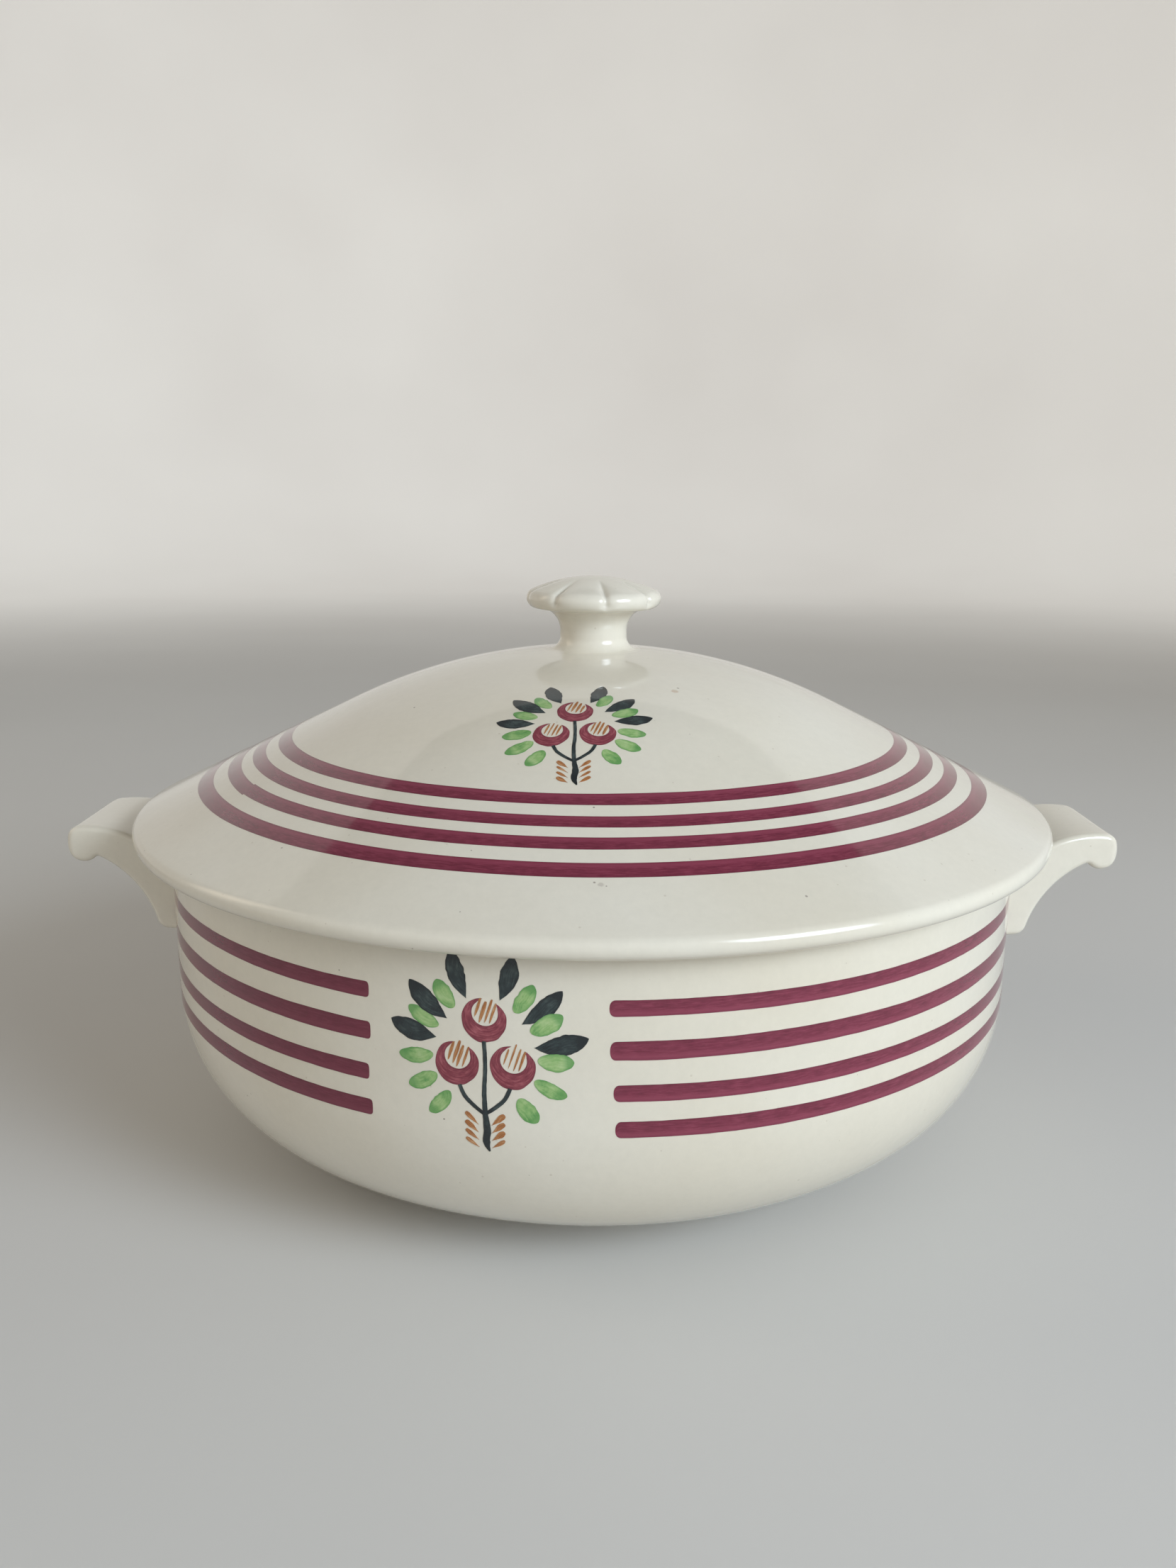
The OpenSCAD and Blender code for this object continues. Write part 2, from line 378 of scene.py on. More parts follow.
band_paint = paint_material("band_paint", (0.240, 0.040, 0.074), (0.170, 0.021, 0.046),
                            (0.112, 0.012, 0.028), 0.75, 0.45, 0.8)
berry_paint = paint_material("berry_paint", (0.40, 0.115, 0.135), (0.225, 0.040, 0.058),
                             (0.130, 0.015, 0.030), 0.7, 0.6)
dark_leaf = paint_material("dark_leaf_paint", (0.060, 0.085, 0.080), (0.020, 0.032, 0.034),
                           (0.007, 0.011, 0.014), 0.5, 0.8)
green_leaf = paint_material("green_leaf_paint", (0.42, 0.55, 0.27), (0.27, 0.44, 0.16),
                            (0.085, 0.27, 0.07), 0.35, 0.7)
ochre = paint_material("ochre_paint", (0.60, 0.37, 0.19), (0.40, 0.165, 0.055),
                       (0.26, 0.085, 0.022), 0.7, 0.25)


# ---- Bowl, lid and knob ----

def bowl_outline():
    """From the centre of the underside, round the foot, up the outside, over the rim and in."""
    foot_in = foot_r - foot_w
    recess_round, foot_round, root_round = 1.5, 1.0, 2.0
    return dense(
        [(0, recess_h)]
        + arc(foot_in - 2 * recess_round, recess_h - recess_round, recess_round, 90, 20, 5)
        + arc(foot_in + foot_round, foot_round, foot_round, 180, 270, 5)
        + arc(foot_r - foot_round, foot_round, foot_round, 270, 360, 5)
        + arc(foot_r + 1.5 * root_round, belly_h - root_round, root_round, 160, 90, 5)
        + arc(belly_x, belly_z, belly_r, -90, 0, 44)
        + arc(rim_r - rim_round, rim_z - rim_round, rim_round, 0, 90, 8)
        + arc(rim_r - wall_t + rim_round, rim_z - rim_round, rim_round, 90, 180, 8)
        + arc(belly_x, belly_z, belly_r - wall_t, 0, -90, 40)
        + [(0, belly_h + wall_t)], 2.6)


def lid_outline():
    """From the centre of the underside out to the flange and the seat, round the lip and over."""
    slope = math.degrees(lid_slope)
    in_edge_x = dome_edge_r - lid_t * math.sin(lid_slope)
    in_edge_z = dome_edge_z - lid_t * math.cos(lid_slope)
    flange_top = in_edge_z - (flange_in_r - in_edge_x) * math.tan(lid_slope)
    round_z = lid_low.z + flange_round
    root_round, seat_round = 2.0, 0.6
    return dense(
        arc(0, dome_z, dome_r - lid_t, 90, 90 - slope, 26)
        + arc(flange_in_r - root_round, flange_top - root_round + root_round * math.tan(lid_slope),
              root_round, 90 - slope, 0, 5)
        + arc(flange_in_r + flange_round, round_z, flange_round, 180, 270, 5)
        + arc(flange_r - flange_round, round_z, flange_round, 270, 360, 5)
        + arc(flange_r + seat_round, rim_z - seat_round, seat_round, 180, 90, 4)
        + arc(seat_r - seat_round, rim_z - seat_round, seat_round, 90, 30, 4)
        + [(seat_r + 0.4, rim_z - 2 * seat_round)]
        + arc(lip_x, lip_z, lip_r, -90, 90 - slope, 18)
        + arc(0, dome_z, dome_r, 90 - slope, 90, 34), 2.6)


def knob_outline():
    """From the centre of its seat, up the neck, under the cap, round the edge and over the top."""
    edge_x = cap_r - cap_edge_r
    edge_z = knob_top - cap_rise - cap_edge_r
    under_z = edge_z - cap_edge_r
    drop = cap_rise + cap_edge_r
    cap_dome_r = (edge_x ** 2 + drop ** 2 - cap_edge_r ** 2) / (2 * cap_rise)
    span = math.degrees(math.asin(edge_x / (cap_dome_r - cap_edge_r)))
    skirt_r = neck_r + neck_fillet
    skirt_end, skirt_z = skirt_r + 1.2, knob_seat_z - 0.45     # its thin edge runs into the lid's glaze
    return dense(
        [(0, skirt_z), (skirt_end, skirt_z), (skirt_end, skirt_z + 0.17)]
        + arc(skirt_r, knob_seat_z + neck_fillet, neck_fillet, -90, -180, 14)
        + arc(neck_r + under_cap_r, under_z - under_cap_r, under_cap_r, 180, 90, 16)
        + arc(edge_x, edge_z, cap_edge_r, -90, 90 - span, 18)
        + arc(0, knob_top - cap_dome_r, cap_dome_r, 90 - span, 90, 22), 0.9)


GROOVES = 8
groove_turn = math.radians(-90 + 10.5)   # one groove's direction; the others follow at equal steps
groove_start, groove_run = 7.5, 8.0      # radius where a groove begins, and its length to full depth
groove_cut, groove_half = 0.80, 0.75     # the sharp part of its section: depth and half width
groove_dip, groove_side = 0.35, 2.4      # the soft dip round it: depth and half width
knob_ripple = 0.3                        # share of the bowl's ripple that the knob has


def knob_sink(x, y, z):
    """Depth of the cap's radial grooves, which open towards the edge and leave soft petals."""
    r = math.hypot(x, y)
    low_z = knob_top - cap_rise - cap_edge_r * 1.8
    if z < low_z:
        return ripple(x, y, z) * knob_ripple
    step = math.tau / GROOVES
    off = (math.atan2(y, x) - groove_turn + step / 2) % step - step / 2
    away = abs(off) * r
    reach = min(1.0, max(0.0, (r - groove_start) / groove_run))
    fade = min(1.0, (z - low_z) / 1.2)
    cut = (groove_cut * math.exp(-(away / groove_half) ** 1.5)
           + groove_dip * math.exp(-(away / groove_side) ** 2))
    return ripple(x, y, z) * knob_ripple + cut * reach ** 1.2 * fade


bowl = revolve("bowl_body", bowl_outline(), SEGMENTS, bowl_glaze, ripple)
lid = revolve("lid_shell", lid_outline(), SEGMENTS, lid_glaze, ripple)
knob = revolve("lid_knob", knob_outline(), 256, knob_glaze, knob_sink)


# ---- Handles ----

def circle_crossing(ax, az, ar, bx, bz, br, side):
    """Where two circles cross; side is 1 or -1 for the point left or right of the line from a to b."""
    d = math.hypot(bx - ax, bz - az)
    along = (ar * ar - br * br + d * d) / (2 * d)
    off = math.sqrt(ar * ar - along * along) * side
    ux, uz = (bx - ax) / d, (bz - az) / d
    return ax + ux * along - uz * off, az + uz * along + ux * off


def bearing(ax, az, bx, bz):
    """Direction from a to b, in degrees."""
    return math.degrees(math.atan2(bz - az, bx - ax))


def resample(points, count):
    """count points at equal steps along a chain of points."""
    lengths = [0.0]
    for (x0, z0), (x1, z1) in zip(points, points[1:]):
        lengths.append(lengths[-1] + math.hypot(x1 - x0, z1 - z0))
    out, k = [], 0
    for i in range(count):
        goal = lengths[-1] * i / (count - 1)
        while k < len(points) - 2 and lengths[k + 1] < goal:
            k += 1
        f = (goal - lengths[k]) / (lengths[k + 1] - lengths[k])
        out.append((points[k][0] + (points[k + 1][0] - points[k][0]) * f,
                    points[k][1] + (points[k + 1][1] - points[k][1]) * f))
    return out


def handle_chains(count):
    """The side view's upper and lower edges, each from the root inside the wall to the tip."""
    root_x = rim_r - wall_t / 2
    roll_x, roll_z = tip_x - roll_r, handle_top - roll_r
    arch_x = roll_x - (arch_r - roll_r) * math.sin(arch_lean)
    arch_z = roll_z - (arch_r - roll_r) * math.cos(arch_lean)
    start = 180 - math.degrees(math.acos((arch_x - root_x) / arch_r))
    lean = 90 - math.degrees(arch_lean)
    upper = arc(arch_x, arch_z, arch_r, start, lean, 60) + arc(roll_x, roll_z, roll_r, lean, 0, 40)[1:]

    low_z = handle_base + low_round
    reach = hollow_r + low_round
    low_x = hollow_x - math.sqrt(reach ** 2 - (low_z - hollow_z) ** 2)
    fx, fz = circle_crossing(hollow_x, hollow_z, hollow_r - notch_round,
                             roll_x, roll_z, roll_r + notch_round, 1)
    to_low = bearing(hollow_x, hollow_z, low_x, low_z)
    to_fillet = bearing(hollow_x, hollow_z, fx, fz)
    to_roll = bearing(fx, fz, roll_x, roll_z)
    lower = ([(root_x, handle_base)]
             + arc(low_x, low_z, low_round, -90, to_low - 180, 12)
             + arc(hollow_x, hollow_z, hollow_r, to_low, to_fillet, 40)[1:]
             + arc(fx, fz, notch_round, to_fillet, to_roll, 12)[1:]
             + arc(roll_x, roll_z, roll_r, to_roll - 180, 0, 40)[1:])
    return resample(upper, count), resample(lower, count)


def handle_half_width(x):
    """Half of the handle's width at x: it tapers outwards and rounds off at the tip's corners."""
    taper = math.atan2((handle_root_w - handle_tip_w) / 2, tip_x - rim_r)
    corner_x = tip_x - corner_r
    corner_y = handle_tip_w / 2 + corner_r * math.tan(taper) - corner_r / math.cos(taper)
    if x > corner_x + corner_r * math.sin(taper):
        return corner_y + math.sqrt(max(corner_r ** 2 - (x - corner_x) ** 2, 0))
    return handle_tip_w / 2 + (tip_x - x) * math.tan(taper)


def inset(points, depth):
    """The outline moved into its solid, which lies on its right."""
    return [(x - nx * depth, z - nz * depth)
            for (x, z), (nx, nz) in zip(points, ((-a, -b) for a, b in outline_normals(points)))]


def make_handle(name, side):
    """One lug handle: a profile swept across, rounded edges, and a flat face at each end."""
    count, across, turns, columns = 96, 14, 6, 8
    upper, lower = handle_chains(count)
    loop = upper + lower[-2::-1]
    upper_n = len(upper)
    stations = []                        # (depth under the outline, gap to the end face, sign or share)
    for k in range(turns, 0, -1):
        a = math.pi / 2 * k / turns
        stations.append((edge_round * (1 - math.cos(a)), edge_round * (1 - math.sin(a)), -1.0))
    stations += [(0.0, edge_round, -1 + 2 * i / across) for i in range(across + 1)]
    for k in range(1, turns + 1):
        a = math.pi / 2 * k / turns
        stations.append((edge_round * (1 - math.cos(a)), edge_round * (1 - math.sin(a)), 1.0))
    verts, faces, rows = [], [], []
    for depth, gap, share in stations:
        points = inset(loop, depth)
        rows.append(range(len(verts), len(verts) + len(points)))
        for x, z in points:
            verts.append((x, share * (handle_half_width(x) - gap), z))
    for low, high in zip(rows, rows[1:]):
        for i in range(len(loop) - 1):
            faces.append((low[i], low[i + 1], high[i + 1], high[i]))
        faces.append((low[-1], low[0], high[0], high[-1]))
    for row, sign in ((rows[0], -1), (rows[-1], 1)):       # end faces, as ladders from edge to edge
        top = [row[i] for i in range(upper_n)]
        bottom = [row[len(loop) - 1 - i] for i in range(upper_n - 1)] + [row[upper_n - 1]]
        ladder = []
        for t, b in zip(top[:-1], bottom[:-1]):
            rung = [t]
            (x0, _, z0), (x1, _, z1) = verts[t], verts[b]
            for c in range(1, columns):
                f = c / columns
                x, z = x0 + (x1 - x0) * f, z0 + (z1 - z0) * f
                rung.append(len(verts))
                verts.append((x, sign * handle_half_width(x), z))
            ladder.append(rung + [b])
        for r0, r1 in zip(ladder, ladder[1:]):
            for c in range(columns):
                faces.append((r0[c], r0[c + 1], r1[c + 1], r1[c]))
        tip = top[-1]
        for c in range(columns):
            faces.append((ladder[-1][c], ladder[-1][c + 1], tip))
    verts = [(x - 0.6 * ripple(x, y, z), y * (1 - 0.001 * ripple(x, y, z)), z) for x, y, z in verts]
    verts = [(side * x, y, z) for x, y, z in verts]
    return make_object(name, verts, faces, handle_glaze)


right_handle = make_handle("handle_right", 1)
left_handle = make_handle("handle_left", -1)


# ---- Paint: thin closed shells that lie on the glaze, one per brush stroke ----

def bowl_surface(u, z, lift):
    """A point on the bowl's outside, u mm round from the front and at height z."""
    if z > belly_z:
        r = belly_wall_r + wall_draw * (z - belly_z) / (rim_z - rim_round - belly_z)
        nr, nz = 1.0, 0.0
    else:
        nz = (z - belly_z) / belly_r
        nr = math.sqrt(1 - nz * nz)
        r = belly_x + belly_r * nr
    a = u / rim_r - math.pi / 2
    x, y = r * math.cos(a), r * math.sin(a)
    out = lift - ripple(x, y, z)
    return (r + nr * out) * math.cos(a), (r + nr * out) * math.sin(a), z + nz * out


def lid_surface(x, y, lift):
    """A point on the lid's top, seen from above at (x, y)."""
    r = math.hypot(x, y)
    lean = math.asin(r / dome_r) if r < dome_edge_r else lid_slope
    z = lid_height(x, y)
    out = lift - ripple(x, y, z)
    r1 = r + math.sin(lean) * out
    return x * r1 / r, y * r1 / r, z + math.cos(lean) * out


LAYER = 0.003              # how much higher each later stroke lies, so that overlaps stay clean
SUNK = -0.25               # a stroke's back lies this far under the glaze


class Paint:
    """Strokes of one pigment on one surface, gathered into one mesh."""

    def __init__(self, surface, lift):
        self.surface, self.lift = surface, lift
        self.verts, self.faces, self.brush, self.pool, self.creases = [], [], [], [], []

    def grid(self, rows, along, pool):
        """A sheet of surface points with a back just under the glaze, closed round its edge."""
        n, m = len(rows), len(rows[0])
        seed = 37.0 * (len(self.faces) % 101)
        first = len(self.verts)
        self.lift += LAYER
        for lift in (self.lift, SUNK):
            for i, row in enumerate(rows):
                for j, (u, v) in enumerate(row):
                    self.verts.append(self.surface(u, v, lift))
                    width = math.dist(row[0], row[-1])
                    self.brush.append((along[i] + seed, width * j / (m - 1), j / (m - 1)))
                    self.pool.append(pool[i])
        at = [[first + i * m + j for j in range(m)] for i in range(n)]
        size = n * m
        for i in range(n - 1):
            for j in range(m - 1):
                quad = (at[i][j], at[i][j + 1], at[i + 1][j + 1], at[i + 1][j])
                self.faces.append(quad)
                self.faces.append(tuple(k + size for k in reversed(quad)))
        rim = (at[0] + [at[i][-1] for i in range(1, n)] + at[-1][-2::-1]
               + [at[i][0] for i in range(n - 2, 0, -1)])
        for a, b in zip(rim, rim[1:] + rim[:1]):
            self.faces.append((a, a + size, b + size, b))
            self.creases.append((a, b))

    def stroke(self, path, widths, columns, rough):
        """A brush stroke along a path, with its full width at each point."""
        rows, along, total = [], [], 0.0
        for i, (u, v) in enumerate(path):
            u0, v0 = path[max(i - 1, 0)]
            u1, v1 = path[min(i + 1, len(path) - 1)]
            d = math.hypot(u1 - u0, v1 - v0)
            nu, nv = (v0 - v1) / d, (u1 - u0) / d
            if i:
                total += math.dist(path[i - 1], path[i])
            along.append(total)
            left = widths[i] / 2 * (1 + rough * noise.noise(Vector((total * 0.9, u * 0.3, v * 0.3 + 5))))
            right = widths[i] / 2 * (1 + rough * noise.noise(Vector((total * 0.9 + 40, u * 0.3, v * 0.3))))
            rows.append([(u + nu * (left + right) * (0.5 - j / (columns - 1)) + nu * (left - right) / 2,
                          v + nv * (left + right) * (0.5 - j / (columns - 1)) + nv * (left - right) / 2)
                         for j in range(columns)])
        self.grid(rows, along, [a / total for a in along])

    def leaf(self, tip, base, width, sharp, round_base, widest, rough, bend=0.0, steps=26):
        """A petal or leaf from base to tip. sharp and round_base shape the ends: 1 pointed, 0.5 round."""
        length = math.dist(tip, base)
        nu, nv = (base[1] - tip[1]) / length, (tip[0] - base[0]) / length
        path, widths = [], []
        for i in range(steps + 1):
            t = 0.5 - 0.5 * math.cos(math.pi * i / steps)
            arch = bend * length * math.sin(math.pi * t)
            path.append((base[0] + (tip[0] - base[0]) * t + nu * arch,
                         base[1] + (tip[1] - base[1]) * t + nv * arch))
            s = t ** (math.log(0.5) / math.log(widest))
            power = round_base + (sharp - round_base) * t
            widths.append(max(0.06, width * (4 * s * (1 - s)) ** power))
        self.stroke(path, widths, 7, rough)

    def stem(self, points, widths):
        """A smooth line through a few points, with its width given at each."""
        path, sizes = [], []
        for i in range(len(points) - 1):
            p = [Vector(points[max(0, min(len(points) - 1, i + k))]) for k in (-1, 0, 1, 2)]
            for k in range(10):
                t = k / 10
                q = 0.5 * (2 * p[1] + (p[2] - p[0]) * t + (2 * p[0] - 5 * p[1] + 4 * p[2] - p[3]) * t * t
                           + (3 * p[1] - p[0] - 3 * p[2] + p[3]) * t ** 3)
                path.append(tuple(q))
                sizes.append(widths[i] + (widths[i + 1] - widths[i]) * t)
        path.append(points[-1])
        sizes.append(widths[-1])
        self.stroke(path, sizes, 5, 0.15)

    def berry(self, place, centre, radii, hole, hole_radii, opening):
        """A crescent round an open centre. It stays open between the two angles of its opening."""
        start, end = opening[1], opening[0] + 360
        steps, columns = 56, 6
        rows, along = [], []
        for i in range(steps + 1):
            t = i / steps
            a = math.radians(start + (end - start) * t)
            close = min(1.0, min(t, 1 - t) * 9) ** 0.6
            wob = 1 + 0.035 * noise.noise(Vector((math.cos(a) * 2.2, math.sin(a) * 2.2, centre[0])))
            outer = (centre[0] + radii[0] * wob * math.cos(a), centre[1] + radii[1] * wob * math.sin(a))
            inner = (hole[0] + hole_radii[0] * math.cos(a), hole[1] + hole_radii[1] * math.sin(a))
            mid = ((outer[0] + inner[0]) / 2, (outer[1] + inner[1]) / 2)
            outer = tuple(m + (o - m) * close for m, o in zip(mid, outer))
            inner = tuple(m + (o - m) * close for m, o in zip(mid, inner))
            along.append(radii[0] * (a - math.radians(start)))
            shares = [j / (columns - 1) for j in range(columns)]
            rows.append([place(*(i + (o - i) * share for i, o in zip(inner, outer))) for share in shares])
        self.grid(rows, along, [0.0] * len(rows))

    def make(self, name, material, slot, body):
        """The strokes drawn so far, as one object that rides on a body."""
        obj = make_object(name, self.verts, self.faces, material)
        mesh = obj.data
        mesh.attributes.new("brush", "FLOAT_VECTOR", "POINT").data.foreach_set(
            "vector", [c for b in self.brush for c in b])
        mesh.attributes.new("pool", "FLOAT", "POINT").data.foreach_set("value", self.pool)
        sharp = {frozenset(pair) for pair in self.creases}
        for edge in mesh.edges:
            edge.use_edge_sharp = frozenset(edge.vertices) in sharp
        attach(obj, body)
        return obj


class Spray:
    """A painted spray of berries and leaves: four pigments, each gathered into one mesh."""

    def __init__(self, surface):
        self.place = None                 # turns the spray's millimetres into the surface's, copy by copy
        self.berries = Paint(surface, 0.02)
        self.sprigs = Paint(surface, 0.04)
        self.leaves = Paint(surface, 0.05)
        self.lines = Paint(surface, 0.03)

    def petal(self, paint, base, direction, length, width, **shape):
        """A leaf from its base, in a direction in degrees, as the painter's brush lays it."""
        a = math.radians(direction)
        tip = (base[0] + length * math.cos(a), base[1] + length * math.sin(a))
        paint.leaf(self.place(*tip), self.place(*base), width, **shape)

    def berry(self, centre, radii, hole_off, hole_radii, opening, lines, line_width, rng):
        """A red berry with an open top. Slanted brown lines cross its pale centre."""
        hole = (centre[0] + hole_off[0], centre[1] + hole_off[1])
        self.berries.berry(self.place, centre, radii, hole, hole_radii, opening)
        slant = Vector((0.31, 0.95))
        across = Vector((slant.y, -slant.x))
        for k in range(lines):
            off = (-1 + 2 * (k + 0.5) / lines) * 0.80 + rng.uniform(-0.04, 0.04)
            mid = Vector(hole) + across * off * hole_radii[0]
            half = slant * hole_radii[1] * math.sqrt(1 - off * off)
            top, bottom = mid + half * rng.uniform(0.85, 1.35), mid - half * rng.uniform(0.70, 0.95)
            self.lines.leaf(self.place(*top), self.place(*bottom), line_width * rng.uniform(0.6, 1.3),
                            sharp=0.22, round_base=0.4, widest=0.6, rough=0.22, steps=14)

    def ferns(self, strokes, width, rng):
        """Brown side strokes, thick where the brush lands and thin at the stem."""
        for outer, inner in strokes:
            self.lines.leaf(self.place(*outer), self.place(*inner), width * rng.uniform(0.65, 1.25),
                            sharp=0.3, round_base=0.75, widest=0.7, rough=0.22, steps=16)

    def stem(self, points, widths):
        """A dark stem through a few of the spray's own points."""
        self.leaves.stem([self.place(*p) for p in points], widths)

    def make(self, prefix, body):
        """One object for each of the four pigments."""
        self.leaves.make(f"{prefix}_leaves", dark_leaf, "dark_leaf_paint", body)
        self.berries.make(f"{prefix}_berries", berry_paint, "burgundy_paint", body)
        self.sprigs.make(f"{prefix}_sprigs", green_leaf, "green_leaf_paint", body)
        self.lines.make(f"{prefix}_fern_lines", ochre, "ochre_paint", body)


def sprig(spray, size, rng):
    """A plain sprig, alike on both sides: three berries on a forked stem, in a fan of leaves."""
    heart = 4.0                                      # height of the point that the leaves fan out from

    def scaled(*point):
        return tuple(c * size for c in point)

    def fan(paint, leaves, width, **shape):
        """Leaves on both sides. Each has a direction, the distance to its base, and a length."""
        for side in (1, -1):
            for direction, reach, length in leaves:
                turn = 90 + side * (90 - direction + rng.uniform(-2.2, 2.2))
                base = (reach * math.cos(math.radians(turn)), heart + reach * math.sin(math.radians(turn)))
                spray.petal(paint, scaled(*base), turn, length * size * rng.uniform(0.92, 1.06),
                            width * size * rng.uniform(0.9, 1.1), bend=0.05 * side, **shape)

    fan(spray.leaves, ((14, 11.5, 12.0), (44, 11.5, 12.5), (73, 13.5, 11.5)), 4.4,
        sharp=0.8, round_base=0.95, widest=0.55, rough=0.13)
    fan(spray.sprigs, ((-50, 12.5, 7.5), (-26, 12.5, 8.0), (-4, 12.0, 8.5),
                       (29, 12.0, 8.0), (59, 12.5, 8.0)), 3.9,
        sharp=0.6, round_base=0.5, widest=0.52, rough=0.12)
    for across, up in ((-6.4, 1.5), (6.4, 1.5), (0.0, 12.2)):
        spray.berry(scaled(across, up), scaled(5.1, 5.3), scaled(0.2, 1.6), scaled(3.0, 3.0), (50, 95),
                    4, 0.66 * size, rng)
    for side in (1, -1):
        spray.stem([scaled(side * x, y) for x, y in ((5.8, -3.6), (4.6, -6.2), (2.4, -8.4), (0.0, -10.2))],
                   scaled(0.9, 0.95, 0.9, 0.8))
        spray.ferns([(scaled(side * 4.5, -10.0 - 2.1 * k), scaled(side * 1.5, -12.8 - 1.9 * k))
                     for k in range(4)], 1.1 * size, rng)
    spray.stem([scaled(x, y) for x, y in ((0.0, 7.2), (0.2, 1.0), (-0.1, -5.0), (0.1, -10.0),
                                          (0.5, -14.0), (0.2, -17.0), (0.9, -19.4))],
               scaled(0.9, 0.9, 1.0, 1.2, 1.7, 1.7, 0.3))


def band_steps(length, cap, steps):
    """Distances along a band that has an end, close together where it narrows."""
    near = [cap * (1 - math.cos(math.pi / 2 * i / steps)) for i in range(steps)]
    count = math.ceil((length - 2 * cap) / 2.2)
    middle = [cap + (length - 2 * cap) * i / count for i in range(count + 1)]
    return near + middle + [length - d for d in reversed(near)]


def bowl_bands(paint, gap_start, gap_end, rng):
    """Four bands round the bowl, left open in front and behind for the sprays."""
    half_turn = math.pi * rim_r
    cap = 1.5                                        # length of a band's rounded end
    for k, (top, bottom) in enumerate(((79.8, 76.0), (70.2, 65.8), (59.9, 56.0), (51.3, 47.3))):
        for side in (0, 1):
            start = gap_end + side * half_turn + 0.6 * k + rng.uniform(-0.3, 0.3)
            end = gap_start + (side + 1) * half_turn + rng.uniform(-0.4, 0.4)
            length = end - start
            phase = rng.uniform(0, 90)
            path, widths = [], []
            for d in band_steps(length, cap, 8):
                near, far = min(1.0, d / cap), min(1.0, (length - d) / cap)
                close = (1 - (1 - near) ** 2.4) ** (1 / 2.4) * (1 - (1 - far) ** 4) ** (1 / 4)
                drift = 0.22 * noise.noise(Vector((d * 0.02 + phase, k * 3.1, 0)))
                swell = 1 + 0.05 * noise.noise(Vector((d * 0.06 + phase, k * 3.1, 7)))
                path.append((start + d, (top + bottom) / 2 + drift))
                widths.append(max(0.08, (top - bottom) * swell * close))
            paint.stroke(path, widths, 6, 0.03)


def lid_rings(paint, rng):
    """Four rings round the lid, each drawn in one go, so its end overlaps its start a little."""
    turn = math.tau + math.radians(1.2)
    steps, columns, waver = 400, 7, 0.13
    for inner, outer, seam in ((86.9, 90.7, 115), (94.3, 97.9, 70),
                               (101.0, 104.7, 209), (108.7, 112.95, 100)):
        phase = rng.uniform(0, 50)
        start = math.radians(seam)
        rows, along = [], []
        for i in range(steps + 1):
            a = start + turn * i / steps
            late = max(0.0, i / steps - 0.95) * 20
            slip = 0.35 * late                       # the end comes in slightly off the start
            c, s = math.cos(a), math.sin(a)
            edge_in = inner + slip + waver * noise.noise(Vector((c * 4, s * 4, phase)))
            edge_out = outer + slip + waver * noise.noise(Vector((c * 4, s * 4, phase + 9)))
            radii = [edge_out + (edge_in - edge_out) * j / (columns - 1) for j in range(columns)]
            rows.append([(r * c, r * s) for r in radii])
            along.append(outer * (a - start))
        paint.grid(rows, along, [0.0] * len(rows))


rng = random.Random(5)
gap_start, gap_end = -51.5, 4.0          # the open stretch of the bowl's bands, in front
spray_turn = (gap_start + gap_end) / 2 + 0.25    # the bowl's spray stands in the middle of it
spray_z = 62
lid_spray_x, lid_spray_y = -4.5, -66.5   # the lid's spray, from the lid's axis

bands = Paint(bowl_surface, 0.02)
bowl_bands(bands, gap_start, gap_end, rng)
bands.make("bowl_bands", band_paint, "burgundy_paint", "bowl")

rings = Paint(lid_surface, 0.02)
lid_rings(rings, rng)
rings.make("lid_rings", band_paint, "burgundy_paint", "lid")

bowl_paint = Spray(bowl_surface)
for turned in (0, math.pi * rim_r):
    bowl_paint.place = lambda u, v, turned=turned: (spray_turn + turned + u, spray_z + v)
    sprig(bowl_paint, 1.0, rng)
bowl_paint.make("bowl", "bowl")

lid_paint = Spray(lid_surface)
for way in (1, -1):
    lid_paint.place = lambda u, v, way=way: (way * (lid_spray_x + u), way * (lid_spray_y + v))
    sprig(lid_paint, 0.9, rng)
lid_paint.make("lid", "lid")

for piece, cad_node, slot, body in ((bowl, "bowl", "bowl_glaze", "bowl"),
                                    (right_handle, "right_handle", "handle_glaze", "bowl"),
                                    (left_handle, "left_handle", "handle_glaze", "bowl"),
                                    (lid, "lid", "lid_glaze", "lid"),
                                    (knob, "knob", "knob_glaze", "lid")):
    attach(piece, body)
    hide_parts(cad_node)


# ---- Camera, floor and light ----

camera_data = bpy.data.cameras.new("camera")
camera_data.lens = 31.74
camera_data.sensor_width = 36
camera = bpy.data.objects.new("camera", camera_data)
bpy.context.scene.collection.objects.link(camera)
pitch, yaw, roll = math.radians(12.613), math.radians(-0.183), math.radians(0.39)
forward = Vector((math.sin(yaw) * math.cos(pitch), math.cos(yaw) * math.cos(pitch), -math.sin(pitch)))
right = Vector((math.cos(yaw), -math.sin(yaw), 0))
up = right.cross(forward)
right_rolled = math.cos(roll) * right + math.sin(roll) * up
up_rolled = math.cos(roll) * up - math.sin(roll) * right
camera_place = (0, -0.4019, 0.1906)                 # in metres
camera.matrix_world = (Matrix.Translation(camera_place)
                       @ Matrix((right_rolled, up_rolled, -forward)).transposed().to_4x4())
bpy.context.scene.camera = camera


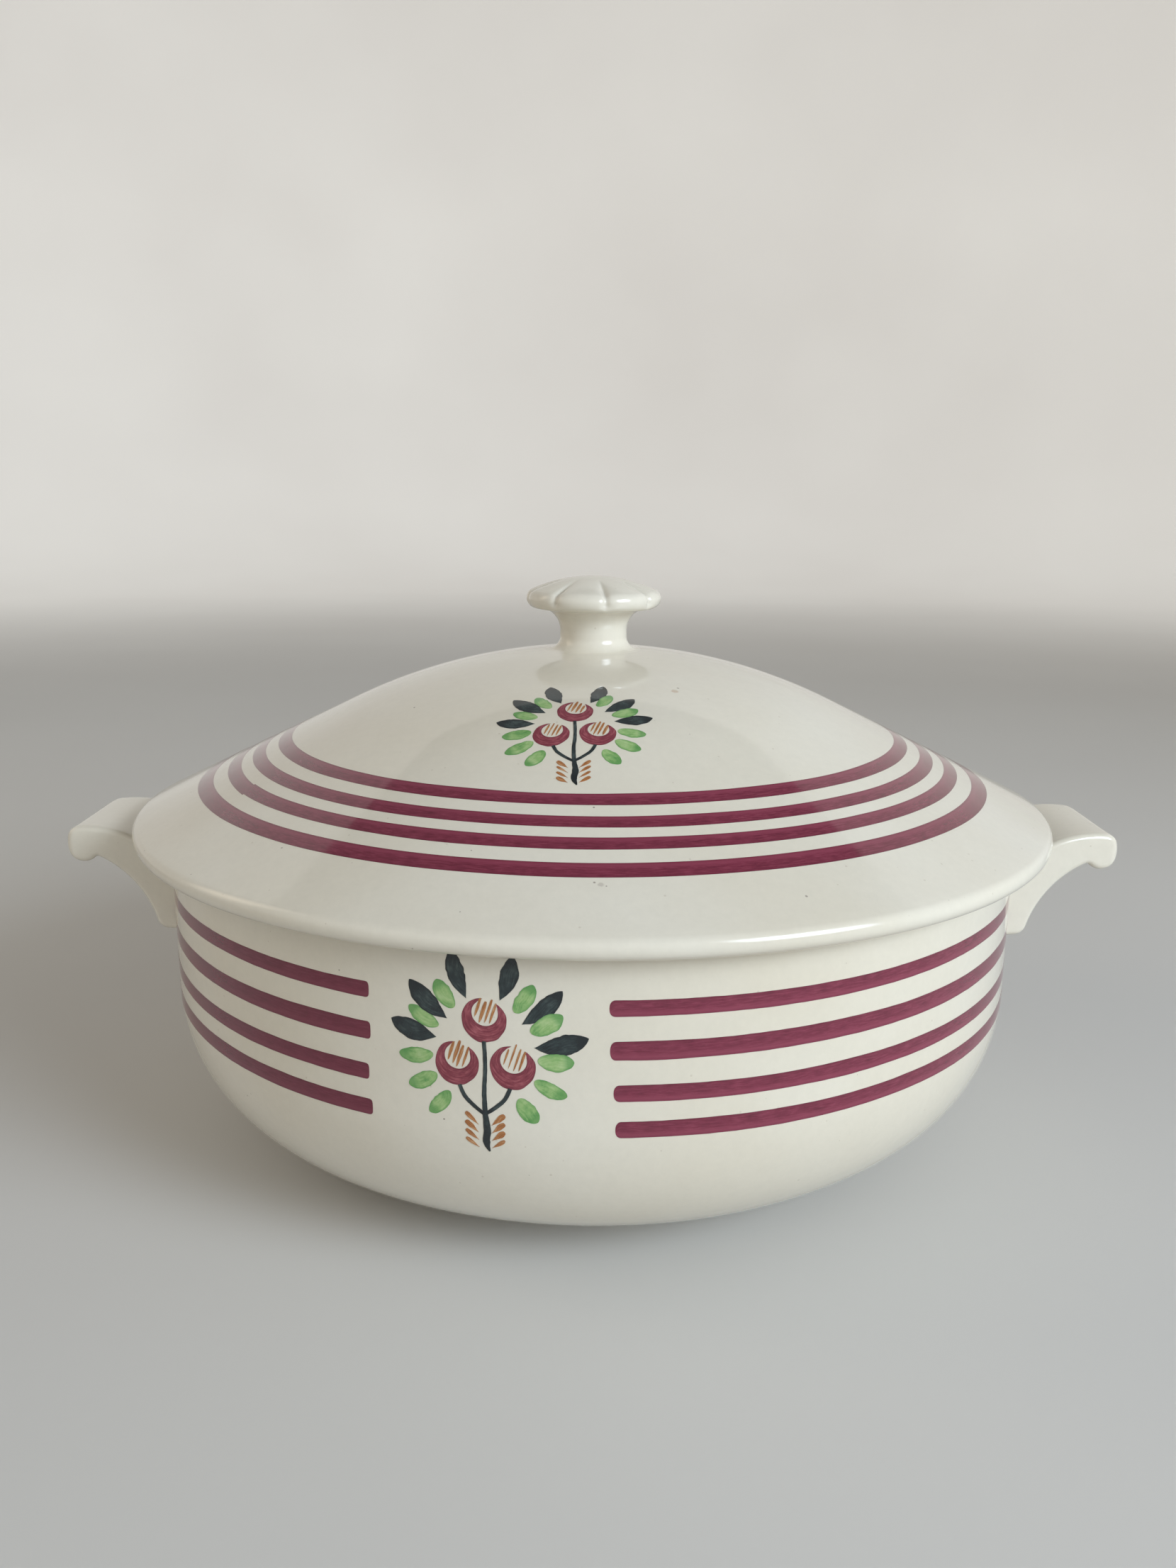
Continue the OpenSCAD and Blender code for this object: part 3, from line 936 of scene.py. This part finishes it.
def backdrop():
    """A round pale floor that curves up into a wall on every side."""
    floor_r, bend_r, wall_top, around = 1900, 700, 2700, 96
    profile = ([(300, 0), (900, 0)] + arc(floor_r, bend_r, bend_r, -90, 0, 24)
               + [(floor_r + bend_r, wall_top)])
    verts, faces = [(0, 0, 0)], []
    for r, z in profile:
        verts += [(r * math.cos(math.tau * k / around), r * math.sin(math.tau * k / around), z)
                  for k in range(around)]
    for k in range(around):
        n = (k + 1) % around
        faces.append((0, 1 + k, 1 + n))
        for i in range(len(profile) - 1):
            low, high = 1 + i * around, 1 + (i + 1) * around
            faces.append((low + k, high + k, high + n, low + n))
    mat, tree, shader = new_material("floor_paper")
    where = node(tree, "ShaderNodeTexCoord").outputs["Object"]
    tone = ramp(tree, fractal(tree, where, 1.6, 3.0),
                [(0.3, (0.60, 0.585, 0.56)), (0.7, (0.65, 0.64, 0.615))])
    tree.links.new(tone, shader.inputs["Base Color"])
    shader.inputs["Roughness"].default_value = 0.85
    shader.inputs["Specular IOR Level"].default_value = 0.1
    # painted glow: the wall gives off light of its own, more of it further from the middle, as a light
    # tent's wall does when lit from behind, and so fades into the floor
    away = node(tree, "ShaderNodeVectorMath", {0: where}, operation="LENGTH").outputs["Value"]
    glow = node(tree, "ShaderNodeMapRange",
                {"Value": away, "From Min": 0.8, "From Max": 2.4, "To Max": 0.56},
                interpolation_type="SMOOTHSTEP")
    tree.links.new(tone, shader.inputs["Emission Color"])
    tree.links.new(glow.outputs["Result"], shader.inputs["Emission Strength"])
    return make_object("floor", verts, faces, mat)


backdrop()


def soft_light(name, place, size_x, size_y, watts, colour):
    """A softbox aimed at the tureen, bright in its middle and dim towards its edges."""
    data = bpy.data.lights.new(name, "AREA")
    data.shape = "RECTANGLE"
    data.size, data.size_y = size_x, size_y
    data.energy = watts
    data.spread = math.radians(84)                   # narrow, so that the floor beside it doesn't glare
    data.color = colour
    data.use_nodes = True
    tree = data.node_tree
    across_box = node(tree, "ShaderNodeNewGeometry").outputs["Parametric"]
    spot = node(tree, "ShaderNodeSeparateXYZ", {"Vector": across_box})
    strength = 2.2
    for axis in ("X", "Y"):
        across = sums(tree, "SUBTRACT", 1.0, spot.outputs[axis])
        hump = sums(tree, "MULTIPLY", sums(tree, "MULTIPLY", spot.outputs[axis], across), 4.0)
        strength = sums(tree, "MULTIPLY", strength, hump)
    tree.links.new(strength, tree.nodes["Emission"].inputs["Strength"])
    lamp = bpy.data.objects.new(name, data)
    bpy.context.scene.collection.objects.link(lamp)
    place = Vector(place)
    aim = (Vector((0, 0, 0.08)) - place).to_track_quat("-Z", "Y")
    lamp.matrix_world = Matrix.Translation(place) @ aim.to_matrix().to_4x4()


soft_light("window_right", (1.15, -1.00, 0.72), 1.1, 0.9, 6.0, (0.77, 0.88, 1.0))
soft_light("window_left", (-1.3, 0.1, 0.7), 0.7, 1.1, 0.4, (1.0, 0.84, 0.64))

world = bpy.data.worlds.new("studio")
world.use_nodes = True
world.node_tree.nodes["Background"].inputs["Color"].default_value = (1.0, 0.98, 0.94, 1)
world.node_tree.nodes["Background"].inputs["Strength"].default_value = 0.20
bpy.context.scene.world = world
bpy.context.scene.view_settings.view_transform = "Standard"
